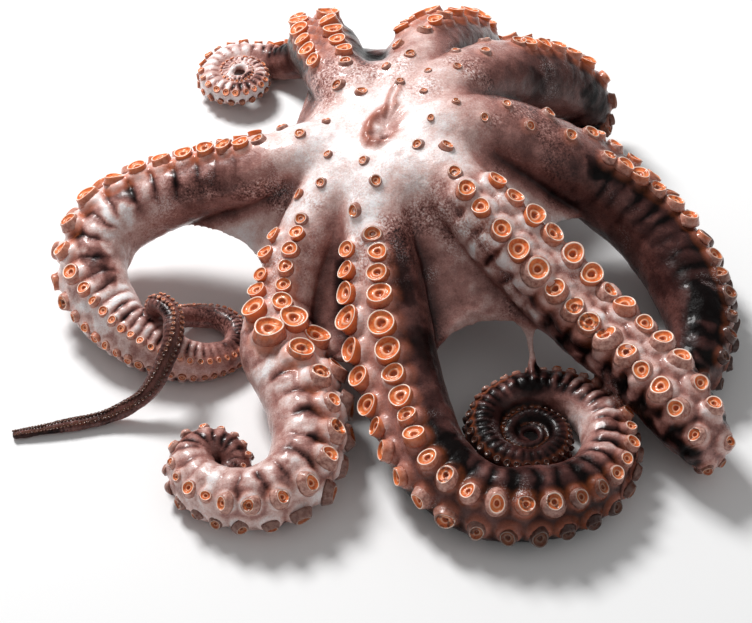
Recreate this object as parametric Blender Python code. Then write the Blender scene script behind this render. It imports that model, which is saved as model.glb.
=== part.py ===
"""A whole cooked octopus lying mouth up on its head, its eight arms curled round it, as one solid.

Blender 4.5, metres, +Z up. The origin lies on the resting plane, straight below the mouth.
Arms, webs, crown, head and suckers are closed shapes that one Boolean union fuses.
"""

import math

import bmesh
import bpy
import numpy as np
from mathutils import Vector

MM = 0.001

# Sizes of the whole
CROWN_RADIUS = 44 * MM
CROWN_TOP = 96 * MM
CROWN_SIDES = 14
CROWN_LEAN = (0.2, 0.04)  # the crown rises this much for each metre towards +X and +Y
HEAD_CENTRE = (2 * MM, 6 * MM, 34 * MM)
HEAD_RADII = (47 * MM, 48 * MM, 42 * MM)
MOUTH_RADIUS = 8 * MM
MOUTH_DEPTH = 7 * MM
MOUTH_FLOOR = 0.66  # share of the mouth's radius
MOUTH_LIP = 0.2  # share of the mouth's depth
CROWN_DROPS = [(0.33, 0), (0.65, 1), (0.90, 8), (1.0, 18), (0.8, 42)]  # share of radius, mm down

# Proportions of an arm's section, as shares of its radius
ORAL_FLATTEN = 0.84
SIDE_WIDTH = 1.05
SIDES = 8
THIN_SIDES = 6
THIN = 7.5 * MM
RING_STEP = 1.9  # the most arm radii from one ring to the next, and a gap besides
RING_GAP = 2 * MM
RING_TURN = math.radians(40)
PIECE_RINGS = 8
PLUG = 0.8  # size of the ring that each tube sinks into the one before it
TURN_SAMPLES = 600
NUDGE = 0.5 * MM
SHARP = math.radians(40)
FLAT = math.radians(1)
SKIN_COLOUR = (0.42, 0.19, 0.15, 1)
SKIN_ROUGHNESS = 0.35

# Suckers: sizes as shares of the arm's radius, or of the sucker's own radius
SUCKER_SHARE = 0.31
SUCKER_PITCH = 2.3  # sucker radii from one to the next in the same row
SUCKER_ROW = 0.42
SUCKER_SPLAY = math.radians(20)
SUCKER_HEIGHT = 0.65
SUCKER_FOOT = (0.85, 0.5)  # radius and depth below the skin
SUCKER_DISH = 0.4
SUCKER_SIDES = 6
FIRST_SUCKER = 4 * MM  # from the arm's root
SUCKER_LEAST = 4.4 * MM
FIRST_SUCKER_RADIUS = 2.1 * MM
SUCKER_GROWTH = 0.038  # radius gained for each metre along the arm, near the mouth

# Webs between neighbouring arms
WEB_THICKNESS = 5 * MM
WEB_START = 25 * MM  # along each arm, under the crown's edge
WEB_ALONG = 4
WEB_RISE = 0.75  # height over the arms' centrelines beside the crown, as a share of their radius
WEB_RISE_END = (30 * MM, 85 * MM)  # where that height starts to fade and where it has gone
WEB_ACROSS = 5
WEB_MARGIN = 0.05  # share of its width that a web stops short of each arm's centreline

COIL_STEP = math.radians(32)
COIL_RISE = 0.25  # how much a coil's suckers face upwards beside outwards


def coil(centre, start, end, heights, radii, angle, turns):
    """Points of a flat spiral, each with its arm radius and a facing away from the centre."""
    count = max(2, round(abs(turns) * 2 * math.pi / COIL_STEP))
    points = []
    for i in range(1, count + 1):
        share = i / count
        turn = math.radians(angle) + share * turns * 2 * math.pi
        reach = start + (end - start) * share
        out = (math.cos(turn), math.sin(turn))
        place = (
            centre[0] + reach * out[0],
            centre[1] + reach * out[1],
            heights[0] + (heights[1] - heights[0]) * share,
        )
        radius = radii[0] + (radii[1] - radii[0]) * share
        points.append((*place, radius, (out[0], out[1], COIL_RISE)))
    return points


# Each arm from the mouth to its tip: x, y, z and radius in mm, and the way its suckers face
BACK_LEFT = [
    (-8, 17, 84, 11, (-0.3, 0.0, 1.0)),
    (-17, 42, 82, 16, (-0.3, -0.1, 1.0)),
    (-25, 68, 77, 17, (-0.4, -0.1, 1.0)),
    (-31, 94, 68, 17, (-0.3, 0.1, 0.95)),
    (-35, 117, 53, 16, (-0.2, 0.6, 0.8)),
    (-38, 134, 35, 14, (0.0, 0.95, 0.4)),
    (-45, 147, 19, 11, (0.2, 1.0, 0.2)),
    (-59, 154, 10, 9.5, (0.3, 0.95, 0.3)),
] + coil((-80, 138), 20.5, 6, (10, 17), (10.5, 4), 62, 2.4)

BACK = [
    (4, 18, 87, 11, (-0.2, 0.0, 1.0)),
    (10, 41, 85, 16, (-0.3, 0.0, 1.0)),
    (17, 65, 81, 18, (-0.3, 0.0, 1.0)),
    (26, 88, 73, 19, (-0.3, 0.2, 0.9)),
    (38, 108, 60, 19, (-0.1, 0.5, 0.85)),
    (50, 122, 42, 17, (0.1, 0.9, 0.5)),
    (59, 131, 24, 13, (0.3, 0.95, 0.2)),
    (72, 138, 11, 10, (0.4, 0.9, 0.2)),
] + coil((84, 120), 18, 6, (9, 9), (9, 4), 85, -1.1)

BACK_RIGHT = [
    (11, 15, 90, 11, (0.0, 0.1, 1.0)),
    (25, 30, 89, 16, (0.0, 0.1, 1.0)),
    (44, 53, 82, 18, (0.0, 0.25, 1.0)),
    (67, 74, 69, 20, (0.05, 0.45, 0.9)),
    (90, 88, 52, 20, (0.3, 0.6, 0.75)),
    (108, 95, 34, 17, (0.75, 0.5, 0.45)),
    (112, 90, 18, 14, (0.95, 0.2, 0.2)),
] + coil((96, 78), 16, 5, (13, 6), (12, 3), 25, -1.1)

RIGHT = [
    (14, 1, 91, 11, (0.0, 0.0, 1.0)),
    (30, 3, 92, 16, (0.0, -0.1, 1.0)),
    (54, 8, 86, 18, (0.1, -0.2, 1.0)),
    (85, 10, 68, 21, (0.35, 0.15, 0.9)),
    (116, 5, 48, 21, (0.6, 0.25, 0.75)),
    (141, -13, 33, 21, (0.8, 0.25, 0.5)),
    (156, -43, 24, 20, (0.95, 0.1, 0.3)),
    (160, -71, 20, 17.5, (0.97, -0.1, 0.15)),
    (152, -94, 15, 14, (0.7, -0.6, 0.1)),
    (136, -90, 10, 9, (0.1, -0.9, 0.2)),
    (119, -74, 7, 6, (-0.3, -0.9, 0.2)),
    (103, -60, 4.5, 3.5, (-0.3, -0.9, 0.2)),
]

FRONT_RIGHT = [
    (11, -9, 90, 11, (0.1, 0.0, 1.0)),
    (28, -24, 87, 15, (0.2, -0.1, 1.0)),
    (47, -42, 76, 17, (0.3, -0.3, 0.9)),
    (72, -60, 57, 18, (0.3, -0.4, 0.87)),
    (98, -80, 41, 18, (0.25, -0.45, 0.86)),
    (124, -106, 34, 18, (0.2, -0.45, 0.86)),
    (143, -130, 29, 17, (0.2, -0.5, 0.84)),
    (154, -146, 20, 13, (0.4, -0.75, 0.4)),
    (154, -141, 8, 7, (0.2, -0.5, -0.8)),
    (144, -118, 5, 5, (0.0, 0.0, -1.0)),
    (130, -99, 4, 3.5, (0.0, 0.0, -1.0)),
]

FRONT = [
    (-1, -13, 86, 11, (-0.2, 0.0, 1.0)),
    (-4, -32, 80, 15, (-0.3, -0.2, 0.9)),
    (-3, -50, 67, 17, (-0.5, -0.3, 0.85)),
    (0, -68, 54, 19, (-0.6, -0.3, 0.74)),
    (3, -88, 42, 20.5, (-0.65, -0.3, 0.7)),
    (7, -108, 31, 20.5, (-0.65, -0.35, 0.68)),
    (14, -132, 23, 19.5, (-0.6, -0.5, 0.62)),
    (26, -161, 19, 18.5, (-0.5, -0.7, 0.5)),
    (47, -179, 17, 17.5, (-0.2, -0.9, 0.4)),
    (73, -181, 16.5, 17.5, (0.1, -0.95, 0.33)),
    (96, -171, 15, 16, (0.65, -0.7, 0.33)),
    (109, -148, 14, 14.5, (0.95, 0.0, 0.3)),
    (106, -122, 13, 13.5, (0.7, 0.65, 0.3)),
    (90, -106, 12, 12.5, (0.1, 0.95, 0.3)),
] + coil((71, -133.5), 27.5, 6, (12, 11), (12.5, 4.5), 92, 2.0)

FRONT_LEFT = [
    (-11, -8, 82, 11, (-0.2, 0.0, 1.0)),
    (-20, -16, 77, 14, (-0.3, 0.0, 1.0)),
    (-30, -26, 68, 15, (-0.4, 0.0, 0.9)),
    (-38, -39, 58, 15, (-0.4, 0.0, 0.9)),
    (-45, -51, 49, 15, (-0.4, 0.0, 0.92)),
    (-49, -64, 40, 14.5, (-0.3, 0.1, 0.95)),
    (-52, -77, 33, 16.5, (-0.1, 0.25, 0.95)),
    (-51, -92, 28, 19, (0.1, 0.4, 0.9)),
    (-43, -108, 24, 19.5, (0.4, 0.5, 0.75)),
    (-37, -127, 21, 19, (0.8, 0.35, 0.5)),
    (-36, -149, 19, 18, (0.95, -0.1, 0.25)),
    (-43, -167, 17, 17, (0.6, -0.75, 0.15)),
    (-58, -176, 15, 15.5, (0.0, -0.98, 0.15)),
    (-77, -173, 13, 14, (-0.5, -0.85, 0.2)),
    (-90, -162, 12, 13, (-0.85, -0.45, 0.2)),
    (-93, -149, 12, 12, (-0.9, 0.35, 0.3)),
    (-86, -141, 12, 10.5, (-0.3, 0.9, 0.3)),
    (-76, -142, 11, 9.5, (0.5, 0.8, 0.3)),
    (-70, -150, 10, 8, (0.9, 0.2, 0.3)),
    (-75, -158, 9, 6, (0.9, -0.3, 0.3)),
]

LEFT = [
    (-14, 4, 84, 11, (-0.2, 0.0, 1.0)),
    (-29, 3, 80, 15, (-0.2, 0.1, 1.0)),
    (-47, 2, 73, 17, (-0.1, 0.3, 0.95)),
    (-70, 1, 64, 17.5, (0.0, 0.5, 0.85)),
    (-95, 1, 55, 18, (0.0, 0.6, 0.8)),
    (-121, -1, 45, 19, (-0.35, 0.6, 0.7)),
    (-141, -10, 36, 19.5, (-0.8, 0.4, 0.45)),
    (-149, -29, 28, 19, (-0.95, 0.0, 0.3)),
    (-143, -50, 22, 17, (-0.8, -0.3, 0.5)),
    (-128, -68, 17, 14.5, (-0.5, -0.75, 0.45)),
    (-109, -79, 13, 12, (-0.2, -0.9, 0.35)),
    (-90, -82, 10, 9.5, (0.1, -0.95, 0.3)),
    (-76, -74, 8, 8, (0.85, -0.5, 0.2)),
    (-73, -60, 7, 7, (0.9, 0.4, 0.2)),
    (-83, -48, 7, 6.5, (0.3, 0.9, 0.3)),
    (-98, -49, 10, 6, (0.0, 0.9, 0.4)),
    (-109, -58, 18, 5.6, (-0.4, 0.7, 0.5)),
    (-114, -63, 28, 5.2, (-0.7, 0.4, 0.5)),
    (-112, -66, 36, 5.2, (0.0, 0.4, 0.9)),
    (-105, -74, 38, 5, (0.5, 0.0, 0.85)),
    (-103, -87, 35, 5, (0.4, 0.0, 0.9)),
    (-108, -99, 26, 4.6, (0.3, -0.2, 0.9)),
    (-118, -108, 13, 4.2, (0.2, -0.3, 0.9)),
    (-134, -113, 5, 3.8, (0.0, -0.3, 0.95)),
    (-157, -119, 3.5, 3.2, (0.0, -0.3, 0.95)),
    (-182, -124, 2.5, 2.2, (0.0, -0.3, 0.95)),
]

# Arms in order round the mouth, with how large their suckers are beside the usual at distances
# along the arm in mm
ARMS = {
    "right": (RIGHT, [(0, 0.75), (299, 0.75)]),
    "back_right": (BACK_RIGHT, [(0, 0.78), (240, 0.78)]),
    "back": (BACK, [(0, 0.95), (265, 0.95)]),
    "back_left": (BACK_LEFT, [(0, 1.15), (100, 1.1), (384, 0.85)]),
    "left": (LEFT, [(0, 0.95), (60, 0.98), (150, 0.9), (172, 0.8), (190, 0.55), (230, 0.55), (474, 0.8)]),
    "front_left": (FRONT_LEFT, [
        (0, 0.95), (60, 0.9), (85, 0.95), (100, 1.25), (125, 1.15), (150, 1.0), (200, 0.88),
        (245, 0.75), (299, 0.65),
    ]),
    "front": (FRONT, [
        (0, 1.08), (60, 1.15), (85, 1.2), (110, 1.0), (130, 0.92), (150, 0.88), (225, 0.86),
        (275, 0.84), (320, 0.62), (400, 0.7), (552, 0.8),
    ]),
    "front_right": (FRONT_RIGHT, [(0, 1.1), (45, 1.25), (100, 1.15), (150, 1.0), (200, 0.9), (276, 0.85)]),
}

# The tips that fill the middle of each coil: x, y, radius and top in mm
CORES = [
    (-80, 138, 5, 20),
    (84, 120, 5, 12),
    (71, -133.5, 5, 14),
]
CORE_FOOT = 3 * MM
CORE_RINGS = [(0.8, 0.0), (1.0, 0.5), (0.75, 1.0)]  # share of radius, share of height

# How far each web reaches along its two arms, in mm, how deep its free edge curves in, and its sag
WEBS = {
    ("right", "back_right"): (95, 95, 0.23, 0.12),
    ("back_right", "back"): (95, 85, 0.30, 0.12),
    ("back", "back_left"): (98, 98, 0.15, 0.06),
    ("back_left", "left"): (105, 44, 0.06, 0.10),
    ("left", "front_left"): (150, 96, 0.47, 0.18),
    ("front_left", "front"): (132, 124, 0.21, 0.12),
    ("front", "front_right"): (150, 165, 0.45, 0.12),
    ("front_right", "right"): (112, 170, 0.42, 0.12),
}


def unit(rows):
    return rows / np.linalg.norm(rows, axis=-1, keepdims=True)


def spline(values, knots, at):
    """Catmull-Rom curve through values at knots, read at the places asked for."""
    slopes = np.gradient(values, knots, axis=0)
    piece = np.clip(np.searchsorted(knots, at, side="right") - 1, 0, len(knots) - 2)
    span = (knots[piece + 1] - knots[piece])[:, None]
    t = (at - knots[piece])[:, None] / span
    return (
        (2 * t**3 - 3 * t**2 + 1) * values[piece]
        + (t**3 - 2 * t**2 + t) * span * slopes[piece]
        + (3 * t**2 - 2 * t**3) * values[piece + 1]
        + (t**3 - t**2) * span * slopes[piece + 1]
    )


class Arm:
    """An arm's centreline, with its radius and the way its suckers face at any distance along it."""

    def __init__(self, points):
        rows = np.array([[x, y, z, r, *facing] for x, y, z, r, facing in points])
        rows[:, :4] *= MM
        steps = np.linalg.norm(np.diff(rows[:, :3], axis=0), axis=1)
        self.rows = rows
        self.knots = np.concatenate([[0], np.cumsum(steps)])
        self.length = self.knots[-1]

    def at(self, along):
        """Centre, radius, tangent, facing and side direction at each distance along the arm."""
        along = np.atleast_1d(along).astype(float)
        here = spline(self.rows, self.knots, along)
        ahead = spline(self.rows, self.knots, np.minimum(along + NUDGE, self.length))
        behind = spline(self.rows, self.knots, np.maximum(along - NUDGE, 0))
        tangent = unit(ahead[:, :3] - behind[:, :3])
        facing = here[:, 4:] - (here[:, 4:] * tangent).sum(1)[:, None] * tangent
        facing = unit(facing)
        return here[:, :3], here[:, 3], tangent, facing, np.cross(tangent, facing)


def new_object(name, points, faces, collection):
    mesh = bpy.data.meshes.new(name)
    mesh.from_pydata([tuple(p) for p in points], [], faces)
    shape = bmesh.new()
    shape.from_mesh(mesh)
    bmesh.ops.recalc_face_normals(shape, faces=shape.faces)
    bmesh.ops.triangulate(shape, faces=shape.faces)
    shape.to_mesh(mesh)
    shape.free()
    made = bpy.data.objects.new(name, mesh)
    collection.objects.link(made)
    return made


def loft(rings):
    """Points and faces of a closed tube through rings of equal count, with a fan at each end."""
    count = len(rings[0])
    points = np.concatenate([*rings, [rings[0].mean(0)], [rings[-1].mean(0)]])
    faces = []
    for k in range(len(rings) - 1):
        for i in range(count):
            j = (i + 1) % count
            faces.append((k * count + i, k * count + j, (k + 1) * count + j, (k + 1) * count + i))
    first, last = len(points) - 2, len(points) - 1
    top = (len(rings) - 1) * count
    for i in range(count):
        j = (i + 1) % count
        faces.append((first, j, i))
        faces.append((last, top + i, top + j))
    return points, faces


def arm_ring(centre, radius, facing, side, sides):
    """One section of an arm: flatter under the suckers, and flat where it meets the plane."""
    turn = np.arange(sides) * 2 * math.pi / sides + math.pi / sides
    up = np.where(np.cos(turn) > 0, ORAL_FLATTEN, 1.0) * np.cos(turn)
    across = SIDE_WIDTH * np.sin(turn)
    ring = centre + radius * (up[:, None] * facing + across[:, None] * side)
    ring[:, 2] = np.maximum(ring[:, 2], 0)
    return ring


def ring_places(arm):
    """Distances along the arm for its rings, closer together as it thins or turns."""
    fine = np.linspace(0, arm.length, TURN_SAMPLES)
    _, radius, tangent, _, _ = arm.at(fine)
    turned = np.arccos(np.clip((tangent[1:] * tangent[:-1]).sum(1), -1, 1))
    need = np.diff(fine) / (RING_STEP * radius[1:] + RING_GAP) + turned / RING_TURN
    need = np.concatenate([[0], np.cumsum(need)])
    return np.interp(np.linspace(0, need[-1], math.ceil(need[-1]) + 1), need, fine)


def add_arm(name, arm, collection):
    """The arm as short overlapping tubes, so that a coil which touches itself still fuses."""
    places = ring_places(arm)
    centre, radius, _, facing, side = arm.at(places)
    for start in range(0, len(places) - 1, PIECE_RINGS):
        rings = []
        sides = SIDES if radius[start] > THIN else THIN_SIDES
        for k in range(max(start - 1, 0), min(start + PIECE_RINGS + 1, len(places))):
            size = PLUG if k < start else 1.0
            rings.append(arm_ring(centre[k], size * radius[k], facing[k], side[k], sides))
        new_object(f"{name}_{start}", *loft(rings), collection)


def sucker_radius(along, radius, size):
    """Suckers start small by the mouth and then keep to a share of the arm's radius."""
    near_mouth = FIRST_SUCKER_RADIUS + SUCKER_GROWTH * along
    return size * min(SUCKER_SHARE * radius, near_mouth)


def sucker_places(arm, sizes):
    """Where suckers sit: two staggered rows along the arm, each with its centre, axis and radius."""
    found = []
    marks, shares = np.array(sizes).T
    along = FIRST_SUCKER
    row = 1
    while along < arm.length:
        centre, radius, _, facing, side = (v[0] for v in arm.at(along))
        size = np.interp(along, marks * MM, shares)
        own = sucker_radius(along, radius, size)
        splay = row * SUCKER_SPLAY
        axis = math.cos(splay) * facing + math.sin(splay) * side
        rise = ORAL_FLATTEN * radius * math.cos(math.asin(SUCKER_ROW))
        place = centre + rise * facing + row * SUCKER_ROW * SIDE_WIDTH * radius * side
        if own >= SUCKER_LEAST and place[2] > own:
            found.append((place, axis, own))
        along += SUCKER_PITCH * own / 2
        row = -row
    return found


def add_sucker(name, place, axis, radius, collection):
    """A low cup: a foot sunk in the arm, an outer wall, a rim and a dished middle."""
    profile = ((SUCKER_FOOT[0], -SUCKER_FOOT[1]), (1.0, SUCKER_HEIGHT))
    turn = np.arange(SUCKER_SIDES) * 2 * math.pi / SUCKER_SIDES
    frame = np.array(Vector(axis).to_track_quat("Z", "Y").to_matrix())
    rings = []
    for share, level in profile:
        ring = np.stack([np.cos(turn), np.sin(turn), 0 * turn], axis=1) * share * radius
        ring[:, 2] = level * radius
        rings.append(place + ring @ frame.T)
    points, faces = loft(rings)
    points[-1] -= SUCKER_DISH * radius * axis
    points[:, 2] = np.maximum(points[:, 2], 0)
    new_object(name, points, faces, collection)


def web_sheet(first, second, reaches, depth, sag):
    """A grid of points from one arm to the other, with its free edge curved in and a slight sag."""
    across = np.linspace(WEB_MARGIN, 1 - WEB_MARGIN, WEB_ACROSS)
    bow = np.sin(math.pi * across)
    rows = []
    for along in np.linspace(0, 1, WEB_ALONG):
        share = along * (1 - depth * np.sqrt(bow))
        place = WEB_START + share * (reaches[0] * MM - WEB_START)
        here, radius = first.at(place)[:2]
        there = second.at(WEB_START + share * (reaches[1] * MM - WEB_START))[0]
        row = here * (1 - across)[:, None] + there * across[:, None]
        row[:, 2] -= sag * bow * np.linalg.norm(there - here, axis=1)
        fade = (WEB_RISE_END[1] - place) / (WEB_RISE_END[1] - WEB_RISE_END[0])
        row[:, 2] += WEB_RISE * radius * np.clip(fade, 0, 1)
        rows.append(row)
    return np.array(rows)


def rim_of(grid):
    """The outer entries of a grid, in order round it."""
    return np.concatenate([grid[0], grid[1:, -1], grid[-1, -2::-1], grid[-2:0:-1, 0]])


def add_web(name, first, second, reach_first, reach_second, depth, sag, collection):
    """A skin of even thickness between two arms."""
    sheet = web_sheet(first, second, (reach_first, reach_second), depth, sag).reshape(-1, 3)
    half = np.array([0, 0, WEB_THICKNESS / 2])
    points = np.concatenate([sheet + half, sheet - half])
    faces = []
    size = len(sheet)
    for a in range(WEB_ALONG - 1):
        for b in range(WEB_ACROSS - 1):
            k = a * WEB_ACROSS + b
            quad = (k, k + 1, k + WEB_ACROSS + 1, k + WEB_ACROSS)
            faces.append(quad)
            faces.append(tuple(size + i for i in reversed(quad)))
    rim = rim_of(np.arange(size).reshape(-1, WEB_ACROSS))
    for i, here in enumerate(rim):
        there = rim[(i + 1) % len(rim)]
        faces.append((here, there, size + there, size + here))
    new_object(name, points, faces, collection)


def add_core(name, x, y, radius, top, collection):
    """A short upright plug with a rounded top."""
    turn = np.arange(THIN_SIDES) * 2 * math.pi / THIN_SIDES
    outline = np.stack([np.cos(turn), np.sin(turn), 0 * turn], axis=1) * radius * MM
    rings = []
    for share, level in CORE_RINGS:
        height = CORE_FOOT + level * (top * MM - CORE_FOOT)
        rings.append(share * outline + np.array([x * MM, y * MM, height]))
    new_object(name, *loft(rings), collection)


def add_crown(collection):
    """The disc under the arms' roots, with the mouth as a dimple in its top."""
    mouth = MOUTH_RADIUS / CROWN_RADIUS
    profile = [
        (MOUTH_FLOOR * mouth, CROWN_TOP - MOUTH_DEPTH),
        (mouth, CROWN_TOP - MOUTH_LIP * MOUTH_DEPTH),
    ]
    profile += [(share, CROWN_TOP - drop * MM) for share, drop in CROWN_DROPS]
    turn = np.linspace(0, 2 * math.pi, CROWN_SIDES, endpoint=False)
    rings = []
    for share, level in reversed(profile):
        x, y = CROWN_RADIUS * share * np.cos(turn), CROWN_RADIUS * share * np.sin(turn)
        rings.append(np.stack([x, y, level + CROWN_LEAN[0] * x + CROWN_LEAN[1] * y], axis=1))
    new_object("crown", *loft(rings), collection)


def make_head():
    """The head under the crown, a soft bag that rests on a flat spot."""
    shape = bmesh.new()
    bmesh.ops.create_icosphere(shape, subdivisions=2, radius=1)
    for vertex in shape.verts:
        for axis in range(3):
            vertex.co[axis] = HEAD_CENTRE[axis] + HEAD_RADII[axis] * vertex.co[axis]
        vertex.co.z = max(vertex.co.z, 0)
    bmesh.ops.dissolve_limit(shape, angle_limit=FLAT, verts=shape.verts, edges=shape.edges)
    bmesh.ops.triangulate(shape, faces=shape.faces)
    mesh = bpy.data.meshes.new("octopus")
    shape.to_mesh(mesh)
    shape.free()
    head = bpy.data.objects.new("octopus", mesh)
    bpy.context.scene.collection.objects.link(head)
    return head


def islands_of(shape):
    """The vertices of a mesh grouped by what hangs together, the smallest group first."""
    groups = []
    seen = set()
    for vertex in shape.verts:
        if vertex in seen:
            continue
        seen.add(vertex)
        group = [vertex]
        for here in group:
            for link in here.link_edges:
                other = link.other_vert(here)
                if other not in seen:
                    seen.add(other)
                    group.append(other)
        groups.append(group)
    return sorted(groups, key=len)


def fuse(body, pieces):
    """Joins every piece to the body, then drops loose scraps and fills sealed hollows."""
    union = body.modifiers.new("fuse", "BOOLEAN")
    union.operation = "UNION"
    union.operand_type = "COLLECTION"
    union.collection = pieces
    union.solver = "MANIFOLD"
    bpy.context.view_layer.objects.active = body
    bpy.context.view_layer.update()
    bpy.ops.object.modifier_apply(modifier=union.name)
    for piece in list(pieces.objects):
        bpy.data.objects.remove(piece)
    bpy.data.collections.remove(pieces)
    shape = bmesh.new()
    shape.from_mesh(body.data)
    for island in islands_of(shape)[:-1]:
        bmesh.ops.delete(shape, geom=island, context="VERTS")
    shape.to_mesh(body.data)
    shape.free()


def cooked_skin():
    material = bpy.data.materials.new("octopus_skin")
    material.use_nodes = True
    shader = material.node_tree.nodes["Principled BSDF"]
    shader.inputs["Base Color"].default_value = SKIN_COLOUR
    shader.inputs["Roughness"].default_value = SKIN_ROUGHNESS
    shader.inputs["Metallic"].default_value = 0.0
    return material


def main():
    for old in list(bpy.data.objects):
        bpy.data.objects.remove(old)
    pieces = bpy.data.collections.new("pieces")
    bpy.context.scene.collection.children.link(pieces)
    arms = {name: Arm(points) for name, (points, _) in ARMS.items()}
    for name, arm in arms.items():
        add_arm(name, arm, pieces)
        for k, (place, axis, radius) in enumerate(sucker_places(arm, ARMS[name][1])):
            add_sucker(f"{name}_sucker_{k}", place, axis, radius, pieces)
    for (first, second), shape in WEBS.items():
        add_web(f"web_{first}", arms[first], arms[second], *shape, pieces)
    for k, core in enumerate(CORES):
        add_core(f"core_{k}", *core, pieces)
    add_crown(pieces)
    octopus = make_head()
    fuse(octopus, pieces)
    octopus.data.shade_smooth()
    octopus.data.set_sharp_from_angle(angle=SHARP)
    octopus.data.materials.append(cooked_skin())


main()
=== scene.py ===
"""The looks of a whole cooked octopus, mouth up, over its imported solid: skin, suckers and mouth."""

import math
from collections import namedtuple

import bpy
import numpy as np
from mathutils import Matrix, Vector
from mathutils.bvhtree import BVHTree


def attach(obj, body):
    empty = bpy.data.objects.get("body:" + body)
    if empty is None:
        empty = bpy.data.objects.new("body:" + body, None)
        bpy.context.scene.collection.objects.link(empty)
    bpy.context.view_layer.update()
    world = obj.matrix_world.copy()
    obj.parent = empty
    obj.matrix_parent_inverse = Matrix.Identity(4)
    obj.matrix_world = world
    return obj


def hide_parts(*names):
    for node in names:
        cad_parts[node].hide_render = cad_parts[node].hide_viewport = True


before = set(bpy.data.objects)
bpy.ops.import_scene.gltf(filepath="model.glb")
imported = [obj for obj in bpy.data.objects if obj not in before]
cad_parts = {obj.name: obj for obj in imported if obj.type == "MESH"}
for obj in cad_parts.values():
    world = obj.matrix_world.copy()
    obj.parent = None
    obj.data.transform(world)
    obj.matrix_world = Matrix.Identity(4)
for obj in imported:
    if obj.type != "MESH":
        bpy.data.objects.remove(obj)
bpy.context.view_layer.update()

MM = 0.001
rng = np.random.default_rng(7)

# Shared with the solid: sizes of the crown, the head, the arms' sections and the suckers
CROWN_RADIUS = 44 * MM
CROWN_TOP = 96 * MM
CROWN_SIDES = 48
CROWN_LEAN = (0.2, 0.04)
CROWN_DROPS = [(0.33, 0), (0.65, 1), (0.90, 8), (1.0, 18), (0.8, 42)]
HEAD_CENTRE = (2 * MM, 6 * MM, 34 * MM)
HEAD_RADII = (47 * MM, 48 * MM, 42 * MM)
ORAL_FLATTEN = 0.84
SIDE_WIDTH = 1.05
SUCKER_SHARE = 0.31
SUCKER_PITCH = 2.3
SUCKER_ROW = 0.42
SUCKER_SPLAY = math.radians(20)
FIRST_SUCKER = 4 * MM
FIRST_SUCKER_RADIUS = 2.1 * MM
SUCKER_GROWTH = 0.038
WEB_THICKNESS = 4.6 * MM
WEB_START = 25 * MM
WEB_RISE = 0.75
WEB_RISE_END = (30 * MM, 85 * MM)
NUDGE = 0.5 * MM

# The finer looks
SIDES = 32
RING_GAP = 2.2 * MM
VOXEL = 1.15 * MM
LEAST_SUCKER = 0.5 * MM
SPARSE_GAP = 9.5 * MM  # between suckers beside the mouth
SPARSE_ROW = 0.28
FLOOR_GAP = 0.3 * MM
COIL_STEP = math.radians(24)
COIL_RISE = 0.25


def coil(centre, start, shrink, heights, radius, angle, turns):
    """Points of a flat spiral that tapers as it winds in, so that each turn lies against the last."""
    count = round(abs(turns) * 2 * math.pi / COIL_STEP)
    points = []
    for i in range(1, count + 1):
        share = i / count
        turn = math.radians(angle) + share * turns * 2 * math.pi
        size = shrink ** (share * abs(turns))
        out = (math.cos(turn), math.sin(turn))
        reach = start * size
        level = heights[0] + (heights[1] - heights[0]) * share
        place = (centre[0] + reach * out[0], centre[1] + reach * out[1], level)
        points.append((*place, radius * size, (out[0], out[1], COIL_RISE)))
    return points


# Each arm from the mouth to its tip: x, y, z and radius in mm, and the way its suckers face
BACK_LEFT = [
    (-8, 17, 84, 11, (-0.3, 0.0, 1.0)),
    (-17, 42, 82, 16, (-0.3, -0.1, 1.0)),
    (-25, 68, 77, 17, (-0.4, -0.1, 1.0)),
    (-31, 94, 68, 17, (-0.3, 0.1, 0.95)),
    (-35, 117, 53, 16, (-0.2, 0.6, 0.8)),
    (-38, 134, 35, 14, (0.0, 0.95, 0.4)),
    (-45, 147, 19, 11, (0.2, 1.0, 0.2)),
    (-59, 154, 10, 9.5, (0.3, 0.95, 0.3)),
] + coil((-80, 138), 20.5, 0.50, (10, 18), 9, 62, 2.4)

BACK = [
    (4, 18, 87, 11, (-0.2, 0.0, 1.0)),
    (10, 41, 85, 16, (-0.3, 0.0, 1.0)),
    (17, 65, 81, 18, (-0.3, 0.0, 1.0)),
    (26, 88, 73, 19, (-0.3, 0.2, 0.9)),
    (38, 108, 60, 19, (-0.1, 0.5, 0.85)),
    (50, 122, 42, 17, (0.1, 0.9, 0.5)),
    (59, 131, 24, 13, (0.3, 0.95, 0.2)),
    (72, 138, 11, 10, (0.4, 0.9, 0.2)),
] + coil((84, 120), 18, 0.42, (9, 9), 8.5, 85, -1.6)

BACK_RIGHT = [
    (11, 15, 90, 11, (0.0, 0.1, 1.0)),
    (25, 30, 89, 16, (0.0, 0.1, 1.0)),
    (44, 53, 82, 18, (0.0, 0.25, 1.0)),
    (67, 74, 69, 20, (0.05, 0.45, 0.9)),
    (90, 88, 52, 20, (0.3, 0.6, 0.75)),
    (108, 95, 34, 17, (0.75, 0.5, 0.45)),
    (112, 90, 18, 14, (0.95, 0.2, 0.2)),
] + coil((96, 78), 16, 0.35, (13, 6), 11, 25, -1.2)

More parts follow.
